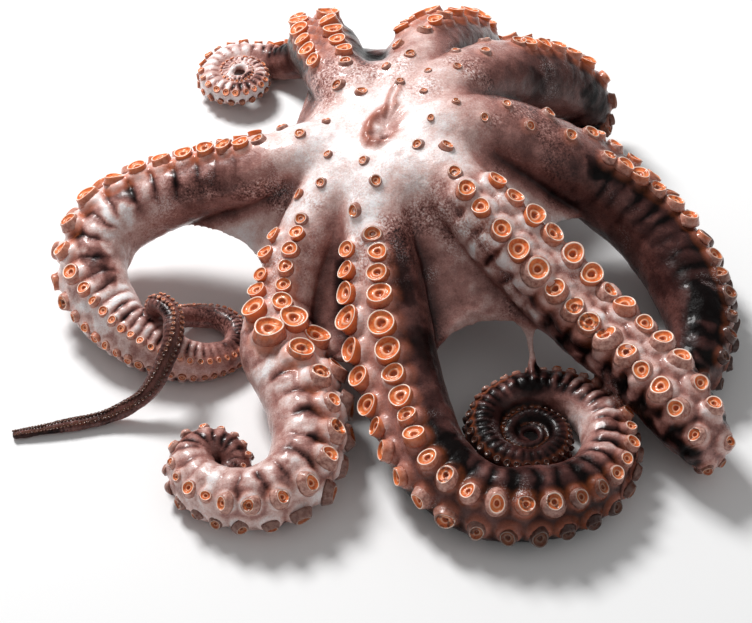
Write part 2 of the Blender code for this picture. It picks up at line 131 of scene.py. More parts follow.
RIGHT = [
    (14, 1, 91, 11, (0.0, 0.0, 1.0)),
    (30, 3, 92, 16, (0.0, -0.1, 1.0)),
    (54, 8, 86, 18, (0.1, -0.2, 1.0)),
    (85, 10, 68, 21, (0.35, 0.15, 0.9)),
    (116, 5, 48, 21, (0.6, 0.25, 0.75)),
    (141, -13, 33, 21, (0.8, 0.25, 0.5)),
    (156, -43, 24, 20, (0.95, 0.1, 0.3)),
    (160, -71, 20, 17.5, (0.97, -0.1, 0.15)),
    (152, -94, 15, 14, (0.7, -0.6, 0.1)),
    (136, -90, 10, 9, (0.1, -0.9, 0.2)),
    (119, -74, 7, 6, (-0.3, -0.9, 0.2)),
    (103, -60, 4.5, 3.5, (-0.3, -0.9, 0.2)),
]

FRONT_RIGHT = [
    (11, -9, 90, 11, (0.1, 0.0, 1.0)),
    (28, -24, 87, 15, (0.2, -0.1, 1.0)),
    (47, -42, 76, 17, (0.3, -0.3, 0.9)),
    (72, -60, 57, 18, (0.3, -0.4, 0.87)),
    (98, -80, 41, 18, (0.25, -0.45, 0.86)),
    (124, -106, 34, 18, (0.2, -0.45, 0.86)),
    (143, -130, 29, 17, (0.2, -0.5, 0.84)),
    (154, -146, 20, 13, (0.4, -0.75, 0.4)),
    (154, -141, 8, 7, (0.2, -0.5, -0.8)),
    (144, -118, 5, 5, (0.0, 0.0, -1.0)),
    (130, -99, 4, 3.5, (0.0, 0.0, -1.0)),
]

FRONT = [
    (-1, -13, 86, 11, (-0.2, 0.0, 1.0)),
    (-4, -32, 80, 15, (-0.3, -0.2, 0.9)),
    (-3, -50, 67, 17, (-0.5, -0.3, 0.85)),
    (0, -68, 54, 19, (-0.6, -0.3, 0.74)),
    (3, -88, 42, 20.5, (-0.65, -0.3, 0.7)),
    (7, -108, 31, 20.5, (-0.65, -0.35, 0.68)),
    (14, -132, 23, 19.5, (-0.6, -0.5, 0.62)),
    (26, -161, 19, 18.5, (-0.5, -0.7, 0.5)),
    (47, -179, 17, 17.5, (-0.2, -0.9, 0.4)),
    (73, -181, 16.5, 17.5, (0.1, -0.95, 0.33)),
    (96, -171, 15, 16, (0.65, -0.7, 0.33)),
    (109, -148, 14, 14.5, (0.95, 0.0, 0.3)),
    (106, -122, 13, 13.5, (0.7, 0.65, 0.3)),
    (90, -106, 12, 12.5, (0.1, 0.95, 0.3)),
] + coil((71, -133.5), 27.5, 0.45, (12, 12), 11, 92, 2.5)

FRONT_LEFT = [
    (-11, -8, 82, 11, (-0.2, 0.0, 1.0)),
    (-20, -16, 77, 14, (-0.3, 0.0, 1.0)),
    (-30, -26, 68, 15, (-0.4, 0.0, 0.9)),
    (-38, -39, 58, 15, (-0.4, 0.0, 0.9)),
    (-45, -51, 49, 15, (-0.4, 0.0, 0.92)),
    (-49, -64, 40, 14.5, (-0.3, 0.1, 0.95)),
    (-52, -77, 33, 16.5, (-0.1, 0.25, 0.95)),
    (-51, -92, 28, 19, (0.1, 0.4, 0.9)),
    (-43, -108, 24, 19.5, (0.4, 0.5, 0.75)),
    (-37, -127, 21, 19, (0.8, 0.35, 0.5)),
    (-36, -149, 19, 18, (0.95, -0.1, 0.25)),
    (-43, -167, 17, 17, (0.6, -0.75, 0.15)),
    (-58, -176, 15, 15.5, (0.0, -0.98, 0.15)),
    (-77, -173, 13, 14, (-0.5, -0.85, 0.2)),
    (-90, -162, 12, 13, (-0.85, -0.45, 0.2)),
    (-93, -149, 12, 12, (-0.9, 0.35, 0.3)),
    (-86, -141, 12, 10.5, (-0.3, 0.9, 0.3)),
    (-76, -142, 11, 9.5, (0.5, 0.8, 0.3)),
    (-70, -150, 10, 8, (0.9, 0.2, 0.3)),
    (-75, -158, 9, 6, (0.9, -0.3, 0.3)),
]

LEFT = [
    (-14, 4, 84, 11, (-0.2, 0.0, 1.0)),
    (-29, 3, 80, 15, (-0.2, 0.1, 1.0)),
    (-47, 2, 73, 17, (-0.1, 0.3, 0.95)),
    (-70, 1, 64, 17.5, (0.0, 0.5, 0.85)),
    (-95, 1, 55, 18, (0.0, 0.6, 0.8)),
    (-121, -1, 45, 19, (-0.35, 0.6, 0.7)),
    (-141, -10, 36, 19.5, (-0.8, 0.4, 0.45)),
    (-149, -29, 28, 19, (-0.95, 0.0, 0.3)),
    (-143, -50, 22, 17, (-0.8, -0.3, 0.5)),
    (-128, -68, 17, 14.5, (-0.5, -0.75, 0.45)),
    (-109, -79, 13, 12, (-0.2, -0.9, 0.35)),
    (-90, -82, 10, 9.5, (0.1, -0.95, 0.3)),
    (-76, -74, 8, 8, (0.85, -0.5, 0.2)),
    (-73, -60, 7, 7, (0.9, 0.4, 0.2)),
    (-83, -48, 7, 6.5, (0.3, 0.9, 0.3)),
    (-98, -49, 10, 6, (0.0, 0.9, 0.4)),
    (-109, -58, 18, 5.6, (-0.4, 0.7, 0.5)),
    (-114, -63, 28, 5.2, (-0.7, 0.4, 0.5)),
    (-112, -66, 36, 5.2, (0.0, 0.4, 0.9)),
    (-105, -74, 38, 5, (0.5, 0.0, 0.85)),
    (-103, -87, 35, 5, (0.4, 0.0, 0.9)),
    (-108, -99, 26, 4.6, (0.3, -0.2, 0.9)),
    (-118, -108, 13, 4.2, (0.2, -0.3, 0.9)),
    (-134, -113, 5, 3.8, (0.0, -0.3, 0.95)),
    (-157, -119, 3.5, 3.2, (0.0, -0.3, 0.95)),
    (-182, -124, 2.5, 2.2, (0.0, -0.3, 0.95)),
]

# Arms in order round the mouth, with where the sparse suckers beside the mouth end, in mm, and how
# large their suckers are beside the usual at distances along the arm, in mm
ARMS = {
    "right": (RIGHT, 92, [(0, 0.75), (299, 0.75)]),
    "back_right": (BACK_RIGHT, 84, [(0, 0.78), (240, 0.78)]),
    "back": (BACK, 62, [(0, 0.95), (265, 0.95)]),
    "back_left": (BACK_LEFT, 38, [(0, 1.15), (100, 1.1), (384, 0.85)]),
    "left": (LEFT, 50, [
        (0, 0.95), (60, 0.98), (150, 0.9), (172, 0.8), (190, 0.55), (230, 0.55), (474, 0.8),
    ]),
    "front_left": (FRONT_LEFT, 50, [
        (0, 0.95), (60, 0.9), (85, 0.95), (100, 1.25), (125, 1.15), (150, 1.0), (200, 0.88),
        (245, 0.75), (299, 0.65),
    ]),
    "front": (FRONT, 48, [
        (0, 1.08), (60, 1.15), (85, 1.2), (110, 1.0), (130, 0.92), (150, 0.88), (225, 0.86),
        (275, 0.84), (320, 0.62), (400, 0.7), (552, 0.8),
    ]),
    "front_right": (FRONT_RIGHT, 42, [
        (0, 1.1), (45, 1.25), (100, 1.15), (150, 1.0), (200, 0.9), (276, 0.85),
    ]),
}

# Down each arm, in mm: how far its cups are closed to knobs of flesh, how far they stand out and
# how broad the flesh under them is
CUP_LOOKS = {
    "right": [(0, 0.0, 0.0, 1.0), (100, 0.5, 0.1, 1.15), (299, 0.8, 0.2, 1.2)],
    "back_right": [(0, 0.0, 0.0, 1.0), (110, 0.3, 0.1, 1.15), (240, 0.5, 0.2, 1.2)],
    "back": [(0, 0.0, 0.0, 1.0), (100, 0.1, 0.2, 1.15), (265, 0.3, 0.2, 1.15)],
    "back_left": [
        (0, 0.0, 0.0, 1.0), (90, 0.0, 0.25, 1.15), (170, 0.2, 0.2, 1.1), (384, 0.5, 0.1, 1.1),
    ],
    "left": [(0, 0.0, 0.0, 1.0), (70, 0.1, 0.3, 1.15), (180, 0.5, 0.1, 1.1), (474, 0.4, 0.0, 1.0)],
    "front_left": [
        (0, 0.0, 0.0, 1.0), (95, 0.0, 0.2, 1.1), (125, 0.2, 0.2, 1.15), (145, 0.85, 0.2, 1.3),
        (210, 1.0, 0.1, 1.3), (299, 0.9, 0.1, 1.2),
    ],
    "front": [
        (0, 0.0, 0.0, 1.0), (60, 0.0, 0.2, 1.1), (130, 0.05, 0.15, 1.1), (180, 0.6, 0.25, 1.15),
        (320, 0.7, 0.2, 1.2), (400, 0.5, 0.1, 1.0), (552, 0.4, 0.0, 1.0),
    ],
    "front_right": [
        (0, 0.0, 0.0, 1.0), (42, 0.2, 0.5, 1.6), (100, 0.6, 0.65, 1.7), (200, 0.8, 0.5, 1.6),
        (276, 0.7, 0.1, 1.3),
    ],
}

# How far each web reaches along its two arms, in mm, how deep its free edge curves in, its sag
# and its tone
WEBS = {
    ("right", "back_right"): (95, 95, 0.23, 0.12, 0.22),
    ("back_right", "back"): (95, 85, 0.30, 0.12, 0.42),
    ("back", "back_left"): (98, 98, 0.15, 0.06, 0.20),
    ("back_left", "left"): (105, 44, 0.06, 0.10, 0.62),
    ("left", "front_left"): (150, 96, 0.47, 0.18, 0.94),
    ("front_left", "front"): (132, 124, 0.21, 0.12, 0.66),
    ("front", "front_right"): (150, 165, 0.45, 0.12, 0.66),
    ("front_right", "right"): (112, 170, 0.42, 0.12, 0.86),
}

# Down each arm: mm from the mouth, tone between the suckers, tone of the flanks, warmth round the
# suckers, depth of the ribs in mm and strength of the dark blotches. Tones run from 0, black, to 1
LOOKS = {
    "right": [
        (0, 0.85, 0.80, 0.1, 0.0, 0.0), (55, 0.50, 0.38, 0.3, 0.1, 0.6),
        (100, 0.42, 0.24, 0.4, 0.4, 1.0), (150, 0.36, 0.16, 0.3, 0.7, 1.0),
        (200, 0.26, 0.10, 0.3, 0.7, 0.9), (299, 0.12, 0.03, 0.1, 0.4, 0.6),
    ],
    "back_right": [
        (0, 0.88, 0.82, 0.1, 0.0, 0.0), (60, 0.62, 0.46, 0.3, 0.1, 0.3),
        (110, 0.46, 0.24, 0.7, 0.2, 0.5), (150, 0.40, 0.12, 0.6, 0.3, 0.6),
        (240, 0.30, 0.04, 0.4, 0.4, 0.8),
    ],
    "back": [
        (0, 0.92, 0.88, 0.1, 0.0, 0.0), (50, 0.72, 0.56, 0.3, 0.1, 0.2),
        (90, 0.60, 0.32, 0.9, 0.3, 0.4), (150, 0.52, 0.24, 0.9, 0.5, 0.6),
        (265, 0.34, 0.14, 0.5, 0.5, 0.6),
    ],
    "back_left": [
        (0, 0.92, 0.86, 0.1, 0.0, 0.0), (45, 0.68, 0.34, 0.4, 0.2, 0.5),
        (70, 0.56, 0.06, 0.9, 0.4, 0.6), (150, 0.50, 0.14, 0.9, 0.7, 0.6),
        (190, 0.94, 0.84, 0.15, 1.3, 1.5), (384, 0.98, 0.94, 0.1, 1.0, 1.6),
    ],
    "left": [
        (0, 0.95, 0.88, 0.1, 0.0, 0.0), (50, 0.84, 0.60, 0.5, 0.2, 0.4),
        (90, 0.86, 0.50, 1.0, 0.9, 0.9), (130, 1.0, 0.98, 0.9, 1.6, 1.1),
        (200, 0.86, 0.84, 0.5, 1.6, 1.0), (260, 0.62, 0.52, 0.5, 1.2, 0.6),
        (330, 0.34, 0.24, 0.3, 0.8, 0.7), (390, 0.16, 0.10, 0.1, 0.5, 0.9),
        (474, 0.18, 0.16, 0.1, 0.2, 0.9),
    ],
    "front_left": [
        (0, 0.95, 0.85, 0.1, 0.0, 0.0), (45, 0.90, 0.60, 0.3, 0.2, 0.3),
        (80, 0.94, 0.64, 0.9, 0.4, 0.6), (120, 1.0, 0.88, 1.0, 1.2, 0.5),
        (170, 0.90, 0.84, 0.6, 1.8, 0.6), (230, 0.86, 0.84, 0.4, 1.5, 0.4),
        (270, 0.60, 0.56, 0.2, 1.0, 0.8), (299, 0.24, 0.16, 0.1, 0.6, 0.6),
    ],
    "front": [
        (0, 0.95, 0.85, 0.1, 0.0, 0.0), (45, 0.86, 0.46, 0.3, 0.1, 0.6),
        (80, 0.84, 0.22, 0.5, 0.1, 0.5), (140, 0.66, 0.17, 0.4, 0.2, 0.3),
        (190, 0.36, 0.16, 0.4, 0.6, 0.9), (245, 0.22, 0.10, 0.4, 1.0, 0.8),
        (275, 0.44, 0.98, 0.3, 1.8, 1.0), (310, 0.44, 0.96, 0.3, 2.2, 1.1),
        (340, 0.34, 0.30, 0.4, 1.8, 1.0), (372, 0.20, 0.06, 0.5, 1.2, 0.6),
        (388, 0.05, 0.0, 0.3, 0.8, 0.2), (552, 0.0, 0.0, 0.1, 0.5, 0.0),
    ],
    "front_right": [
        (0, 0.95, 0.85, 0.1, 0.0, 0.0), (36, 0.82, 0.62, 0.3, 0.2, 0.6),
        (64, 0.84, 0.92, 0.5, 2.0, 0.9), (110, 0.80, 0.72, 0.6, 2.8, 1.0),
        (160, 0.74, 0.48, 0.5, 2.4, 1.0), (220, 0.64, 0.36, 0.3, 1.2, 0.8),
        (276, 0.30, 0.20, 0.2, 0.4, 0.6),
    ],
}


def unit(rows):
    return rows / np.maximum(np.linalg.norm(rows, axis=-1, keepdims=True), 1e-9)


def spline(values, knots, at):
    """Catmull-Rom curve through values at knots, read at the places asked for."""
    slopes = np.gradient(values, knots, axis=0)
    piece = np.clip(np.searchsorted(knots, at, side="right") - 1, 0, len(knots) - 2)
    span = (knots[piece + 1] - knots[piece])[:, None]
    t = (at - knots[piece])[:, None] / span
    return (
        (2 * t**3 - 3 * t**2 + 1) * values[piece]
        + (t**3 - 2 * t**2 + t) * span * slopes[piece]
        + (3 * t**2 - 2 * t**3) * values[piece + 1]
        + (t**3 - t**2) * span * slopes[piece + 1]
    )


class Arm:
    """An arm's centreline, with its radius and the way its suckers face at any distance along it."""

    def __init__(self, points):
        rows = np.array([[x, y, z, r, *facing] for x, y, z, r, facing in points])
        rows[:, :4] *= MM
        steps = np.linalg.norm(np.diff(rows[:, :3], axis=0), axis=1)
        self.rows = rows
        self.knots = np.concatenate([[0], np.cumsum(steps)])
        self.length = self.knots[-1]

    def at(self, along):
        """Centre, radius, tangent, facing and side direction at each distance along the arm."""
        along = np.atleast_1d(along).astype(float)
        here = spline(self.rows, self.knots, along)
        ahead = spline(self.rows, self.knots, np.minimum(along + NUDGE, self.length))
        behind = spline(self.rows, self.knots, np.maximum(along - NUDGE, 0))
        tangent = unit(ahead[:, :3] - behind[:, :3])
        facing = here[:, 4:] - (here[:, 4:] * tangent).sum(1)[:, None] * tangent
        facing = unit(facing)
        return here[:, :3], here[:, 3], tangent, facing, np.cross(tangent, facing)


# One sucker: where it sits, the way it faces, its size, its row and how it is shaped
Sucker = namedtuple("Sucker", "place axis tangent radius along row sparse closed stand breadth")


def sucker_places(arm, sparse_end, sizes, looks):
    """Two staggered rows down the arm as the solid has them, thinned out beside the mouth."""
    found = []
    marks, shares = np.array(sizes).T
    looks = np.array(looks)
    along = FIRST_SUCKER
    row = 1
    last = 0.0
    sparse_row = 1
    while along < arm.length:
        centre, radius, tangent, facing, side = (v[0] for v in arm.at(along))
        size = np.interp(along, marks * MM, shares)
        own = size * min(SUCKER_SHARE * radius, FIRST_SUCKER_RADIUS + SUCKER_GROWTH * along)
        sparse = along < sparse_end * MM
        if own < LEAST_SUCKER:
            break
        if not sparse or along - last >= SPARSE_GAP:
            here_row = sparse_row if sparse else row
            spread = SPARSE_ROW if sparse else SUCKER_ROW
            splay = here_row * SUCKER_SPLAY
            axis = math.cos(splay) * facing + math.sin(splay) * side
            rise = ORAL_FLATTEN * radius * math.cos(math.asin(spread))
            place = centre + rise * facing + here_row * spread * SIDE_WIDTH * radius * side
            look = [np.interp(along, looks[:, 0] * MM, looks[:, k]) for k in (1, 2, 3)]
            found.append(Sucker(place, axis, tangent, own, along, here_row, sparse, *look))
            last = along
            sparse_row = -sparse_row
        along += SUCKER_PITCH * own / 2
        row = -row
    return found


HASH_FACTORS = (374761393, 668265263, 2147483647)
HASH_MIXER = 1274126177
HASH_MASK = 0xFFFFFF
NOISE_OFFSET = 1000.0  # keeps the lattice cells positive


def hashed(cell, seed):
    """A value from 0 to 1 for each lattice cell."""
    mixed = sum(cell[..., axis] * factor for axis, factor in enumerate(HASH_FACTORS))
    mixed = mixed + seed * HASH_MIXER
    mixed = (mixed ^ (mixed >> 13)) * HASH_MIXER
    mixed = mixed ^ (mixed >> 16)
    return (mixed & HASH_MASK) / HASH_MASK


def noise(points, scale, seed):
    """Smooth noise from -1 to 1 whose lumps are about scale metres across."""
    at = points / scale + NOISE_OFFSET
    cell = np.floor(at).astype(np.int64)
    t = at - cell
    t = t * t * (3 - 2 * t)
    total = 0
    for dx in (0, 1):
        for dy in (0, 1):
            for dz in (0, 1):
                corner = hashed(cell + np.array([dx, dy, dz]), seed)
                weight = (t[:, 0] if dx else 1 - t[:, 0]) * (t[:, 1] if dy else 1 - t[:, 1])
                total = total + corner * weight * (t[:, 2] if dz else 1 - t[:, 2])
    return 2 * total - 1


def layered(points, scale, seed, layers=3):
    """Noise with finer lumps added at half the strength each time."""
    return sum(noise(points, scale / 2**k, seed + k) / 2**k for k in range(layers))


def smooth_step(low, high, value):
    t = np.clip((value - low) / (high - low), 0, 1)
    return t * t * (3 - 2 * t)


def blend(a, b, share):
    return a + (b - a) * share


def linked(name, data):
    """A new object in the scene."""
    made = bpy.data.objects.new(name, data)
    bpy.context.scene.collection.objects.link(made)
    return made


class Shape:
    """Points and faces gathered from many closed shapes into one mesh."""

    def __init__(self):
        self.points = []
        self.faces = []
        self.values = {}
        self.count = 0

    def add(self, points, faces, **values):
        self.points.append(np.asarray(points))
        self.faces += [tuple(i + self.count for i in face) for face in faces]
        for name, value in values.items():
            self.values.setdefault(name, []).append(np.broadcast_to(value, len(points)))
        self.count += len(points)

    def make(self, name):
        mesh = bpy.data.meshes.new(name)
        mesh.from_pydata(np.concatenate(self.points).tolist(), [], self.faces)
        for value_name, value in self.values.items():
            set_value(mesh, value_name, np.concatenate(value))
        return linked(name, mesh)


def set_value(mesh, name, value):
    field = mesh.attributes.new(name, "FLOAT", "POINT")
    field.data.foreach_set("value", np.asarray(value, np.float32))


def loft(rings):
    """Points and faces of a closed tube through rings of equal count, with a fan at each end."""
    count = len(rings[0])
    points = np.concatenate([*rings, [rings[0].mean(0)], [rings[-1].mean(0)]])
    faces = []
    for k in range(len(rings) - 1):
        for i in range(count):
            j = (i + 1) % count
            faces.append((k * count + i, k * count + j, (k + 1) * count + j, (k + 1) * count + i))
    first, last = len(points) - 2, len(points) - 1
    top = (len(rings) - 1) * count
    for i in range(count):
        j = (i + 1) % count
        faces.append((first, j, i))
        faces.append((last, top + i, top + j))
    return points, faces


def arm_tube(arm):
    """The arm's bare form."""
    places = np.linspace(0, arm.length, math.ceil(arm.length / RING_GAP))
    centre, radius, _, facing, side = arm.at(places)
    turn = np.arange(SIDES) * 2 * math.pi / SIDES
    up = np.where(np.cos(turn) > 0, ORAL_FLATTEN, 1.0) * np.cos(turn)
    across = SIDE_WIDTH * np.sin(turn)
    rings = []
    for k in range(len(places)):
        ring = centre[k] + radius[k] * (up[:, None] * facing[k] + across[:, None] * side[k])
        ring[:, 2] = np.maximum(ring[:, 2], FLOOR_GAP)
        rings.append(ring)
    return loft(rings)


def frame_of(axis, along):
    """A 3 by 3 frame whose third row is the axis and whose first is closest to along."""
    first = along - axis * (along @ axis)
    first = first / np.linalg.norm(first)
    return np.array([first, np.cross(axis, first), axis])


PAD = ((1.0, -0.9), (1.30, -0.25), (1.14, 0.06), (1.0, 0.22), (0.7, 0.10))  # share of radius, level
PAD_SIDES = 14


def sucker_pad(sucker):
    """The fleshy foot under a sucker, which melts into the arm."""
    turn = np.arange(PAD_SIDES) * 2 * math.pi / PAD_SIDES
    rings = []
    for k, (share, level) in enumerate(PAD):
        breadth = 1 + (sucker.breadth - 1) * (len(PAD) - 1 - k) / (len(PAD) - 1)
        local = np.stack([np.cos(turn), np.sin(turn), 0 * turn], axis=1) * share * breadth
        local[:, 2] = level + sucker.stand * (level > 0)
        rings.append(sucker.place + sucker.radius * local @ frame_of(sucker.axis, sucker.tangent))
    return loft(rings)


WEB_ALONG, WEB_ACROSS = 30, 30


def web(first, second, reaches, depth, sag):
    """A closed sheet between two arms, with its free edge curved in and a slight sag."""
    across = np.linspace(0, 1, WEB_ACROSS)
    bow = np.sin(math.pi * across)
    rows = []
    for share in np.linspace(0, 1, WEB_ALONG):
        share = share * (1 - depth * np.sqrt(bow))
        place = WEB_START + share * (reaches[0] * MM - WEB_START)
        here, radius = first.at(place)[:2]
        there = second.at(WEB_START + share * (reaches[1] * MM - WEB_START))[0]
        row = here * (1 - across)[:, None] + there * across[:, None]
        row[:, 2] -= sag * bow * np.linalg.norm(there - here, axis=1)
        fade = (WEB_RISE_END[1] - place) / (WEB_RISE_END[1] - WEB_RISE_END[0])
        row[:, 2] += WEB_RISE * radius * np.clip(fade, 0, 1)
        rows.append(row)
    sheet = np.array(rows).reshape(-1, 3)
    half = np.array([0, 0, WEB_THICKNESS / 2])
    size = WEB_ALONG * WEB_ACROSS
    faces = []
    for a in range(WEB_ALONG - 1):
        for b in range(WEB_ACROSS - 1):
            k = a * WEB_ACROSS + b
            quad = (k, k + 1, k + WEB_ACROSS + 1, k + WEB_ACROSS)
            faces.append(quad)
            faces.append(tuple(size + i for i in reversed(quad)))
    grid = np.arange(size).reshape(WEB_ALONG, WEB_ACROSS)
    rim = np.concatenate([grid[0], grid[1:, -1], grid[-1, -2::-1], grid[-2:0:-1, 0]])
    for i, here in enumerate(rim):
        there = rim[(i + 1) % len(rim)]
        faces.append((there, here, size + here, size + there))
    return np.concatenate([sheet + half, sheet - half]), faces


# A strand of torn web from the front right arm to the coil: x, y, z and radius in mm
STRAND = ((70.8, -74, 38, 4.0), (72.4, -84, 30, 3.0), (73.6, -93, 25, 2.8), (74.5, -102, 20, 3.6))
STRAND_RINGS, STRAND_SIDES = 24, 12


def strand():
    """The thin strand of web."""
    rows = np.array(STRAND) * MM
    knots = np.arange(len(rows))
    turn = np.linspace(0, 2 * math.pi, STRAND_SIDES, endpoint=False)
    rings = []
    for x, y, z, radius in spline(rows, knots, np.linspace(0, knots[-1], STRAND_RINGS)):
        flat = np.full(STRAND_SIDES, y)
        rings.append(np.stack([x + radius * np.cos(turn), flat, z + radius * np.sin(turn)], axis=1))
    return loft(rings[::-1])


CROWN_HUB = 0.02  # share of the crown's radius


def crown():
    """The disc under the arms' roots."""
    turn = np.linspace(0, 2 * math.pi, CROWN_SIDES, endpoint=False)
    profile = [(CROWN_HUB, CROWN_TOP)]
    profile += [(share, CROWN_TOP - drop * MM) for share, drop in CROWN_DROPS]
    rings = []
    for share, level in reversed(profile):
        x, y = CROWN_RADIUS * share * np.cos(turn), CROWN_RADIUS * share * np.sin(turn)
        rings.append(np.stack([x, y, level + CROWN_LEAN[0] * x + CROWN_LEAN[1] * y], axis=1))
    return loft(rings)


HEAD_RINGS, HEAD_SIDES = 40, 64
HEAD_LIFT = math.pi / 2 - 0.02  # of the top ring


def head():
    """The soft bag under the arms, flat where it rests."""
    turn = np.linspace(0, 2 * math.pi, HEAD_SIDES, endpoint=False)
    rings = []
    for lift in np.linspace(-HEAD_LIFT, HEAD_LIFT, HEAD_RINGS):
        level = max(HEAD_CENTRE[2] + HEAD_RADII[2] * math.sin(lift), FLOOR_GAP)
        x = HEAD_CENTRE[0] + HEAD_RADII[0] * math.cos(lift) * np.cos(turn)
        y = HEAD_CENTRE[1] + HEAD_RADII[1] * math.cos(lift) * np.sin(turn)
        rings.append(np.stack([x, y, np.full(HEAD_SIDES, level)], axis=1))
    return loft(rings)


def evaluated(obj, name):
    """A new object with the mesh that obj's modifiers give, and without obj."""
    graph = bpy.context.evaluated_depsgraph_get()
    mesh = bpy.data.meshes.new_from_object(obj.evaluated_get(graph))
    mesh.name = name
    bpy.data.objects.remove(obj)
    return linked(name, mesh)


def read(collection, field, width, kind=np.float32):
    """One field of a mesh's points or edges as an array."""
    values = np.empty(len(collection) * width, kind)
    collection.foreach_get(field, values)
    return values.reshape(-1, width)


def smoothed(points, edges, weight, rounds):
    """The points moved towards the mean of their neighbours, by weight."""
    count = np.bincount(edges.ravel(), minlength=len(points))
    for _ in range(rounds):
        mean = np.empty_like(points)
        for axis in range(points.shape[1]):
            value = points[:, axis]
            total = np.bincount(edges[:, 0], value[edges[:, 1]], len(points))
            total += np.bincount(edges[:, 1], value[edges[:, 0]], len(points))
            mean[:, axis] = total / count
        points = points + weight[:, None] * (mean - points)
    return points


arms = {}
suckers = {}
for name, (points, sparse_end, sizes) in ARMS.items():
    arms[name] = Arm(points)
    suckers[name] = sucker_places(arms[name], sparse_end, sizes, CUP_LOOKS[name])
all_suckers = [sucker for row in suckers.values() for sucker in row]

# The flesh: every form fused by a fine remesh, then smoothed
LEAST_PAD = 1.3 * MM  # radius of the smallest sucker with a pad
SOFTENING = (0.5, 3)  # share of the way to the neighbours' mean, rounds
CROWN_SMOOTHING = (0.6, 60)
WEB_SMOOTHING = (0.6, 14)
ON_CROWN = (34 * MM, 62 * MM)  # from the mouth, where the crown's smoothing fades
ABOVE_HEAD = (40 * MM, 60 * MM)
flesh = Shape()
for name, arm in arms.items():
    flesh.add(*arm_tube(arm))
    for sucker in suckers[name]:
        if sucker.radius > LEAST_PAD and not sucker.sparse:
            flesh.add(*sucker_pad(sucker))
for (first, second), (reach_first, reach_second, depth, sag, _) in WEBS.items():
    flesh.add(*web(arms[first], arms[second], (reach_first, reach_second), depth, sag))
flesh.add(*strand())
flesh.add(*crown())
flesh.add(*head())
body = flesh.make("flesh")
remesh = body.modifiers.new("remesh", "REMESH")
remesh.mode = "VOXEL"
remesh.voxel_size = VOXEL
soften = body.modifiers.new("soften", "SMOOTH")
soften.factor, soften.iterations = SOFTENING
skin = evaluated(body, "octopus_skin")
mesh = skin.data
points = read(mesh.vertices, "co", 3).astype(float)
edges = read(mesh.edges, "vertices", 2, np.int32)
to_mouth = np.hypot(points[:, 0], points[:, 1])
weight = CROWN_SMOOTHING[0] * smooth_step(*ABOVE_HEAD, points[:, 2])
weight *= 1 - smooth_step(*ON_CROWN, to_mouth)
points = smoothed(points, edges, weight, CROWN_SMOOTHING[1])

# Where each point lies: on which arm, how far along it and at what angle round it
SAMPLE_STEP = 1.5 * MM
samples = []
for number, arm in enumerate(arms.values()):
    along = np.arange(0, arm.length, SAMPLE_STEP)
    centre, radius, tangent, facing, side = arm.at(along)
    ones = np.full(len(along), number)
    samples.append(np.column_stack([centre, radius, tangent, facing, side, along, ones]))
samples = np.concatenate(samples)
BATCH = 8192


def closest(points, centres, offset):
    """The index of the centre with the least squared distance plus its offset, for each point."""
    found = np.empty(len(points), int)
    for start in range(0, len(points), BATCH):
        some = points[start:start + BATCH]
        power = (centres**2).sum(1) + offset - 2 * some @ centres.T
        found[start:start + BATCH] = power.argmin(1)
    return found


near = samples[closest(points, samples[:, :3], -samples[:, 3] ** 2)]
rel = points - near[:, :3]
arm_radius = near[:, 3]
out_facing = (rel * near[:, 7:10]).sum(1) / arm_radius
out_side = (rel * near[:, 10:13]).sum(1) / arm_radius
around = np.arctan2(out_side, out_facing)
along = near[:, 13] + (rel * near[:, 4:7]).sum(1)
from_axis = np.hypot(out_facing, out_side)
arm_number = near[:, 14].astype(int)
OFF_ARM = (1.2, 1.5)  # in radii from the arm's centreline
OFF_ARM_SMOOTHED = (1.1, 1.3)
on_arm = 1 - smooth_step(*OFF_ARM, from_axis)
weight = WEB_SMOOTHING[0] * smooth_step(*OFF_ARM_SMOOTHED, from_axis)
points = smoothed(points, edges, weight, WEB_SMOOTHING[1])
mesh.vertices.foreach_set("co", points.astype(np.float32).ravel())
mesh.update()
outward = read(mesh.vertices, "normal", 3).astype(float)

# Fields of noise: size of their lumps, then seed and layers
LUMPS = (8 * MM, 1)
WANDER = (9 * MM, 21)
BLOTCHES = (24 * MM, 31, 4)
CLOUDS = (16 * MM, 41)
CROWN_EDGE = (18 * MM, 61)
RIB_CHANGE = (20 * MM, 71)
CLUSTERS = (22 * MM, 81)
CREASES = (10 * MM, 91)

# The looks down each arm, and the lobes that the suckers make of its flanks
WANDERING = 0.16  # of a lobe's width
LOBE_FULLNESS = 0.7
look = np.empty((len(points), 5))
lobe = np.ones(len(points))
wander = WANDERING * layered(points, *WANDER)
for number, name in enumerate(arms):
    here = arm_number == number
    table = np.array(LOOKS[name])
    for column in range(look.shape[1]):
        look[here, column] = np.interp(along[here], table[:, 0] * MM, table[:, column + 1])
    for row in (1, -1):
        places = np.array([s.along for s in suckers[name] if s.row == row and not s.sparse])
        mine = here & (np.sign(around) == row)
        phase = np.interp(along[mine], places, np.arange(len(places))) + wander[mine]
        lobe[mine] = np.abs(np.cos(math.pi * phase)) ** LOBE_FULLNESS
oral_tone, flank_tone, warmth, rib_depth, blotches = look.T
web_tones = np.array([row[4] for row in WEBS.values()])
web_number = np.where(out_side > 0, arm_number - 1, arm_number) % len(WEBS)
web_tone = web_tones[web_number]

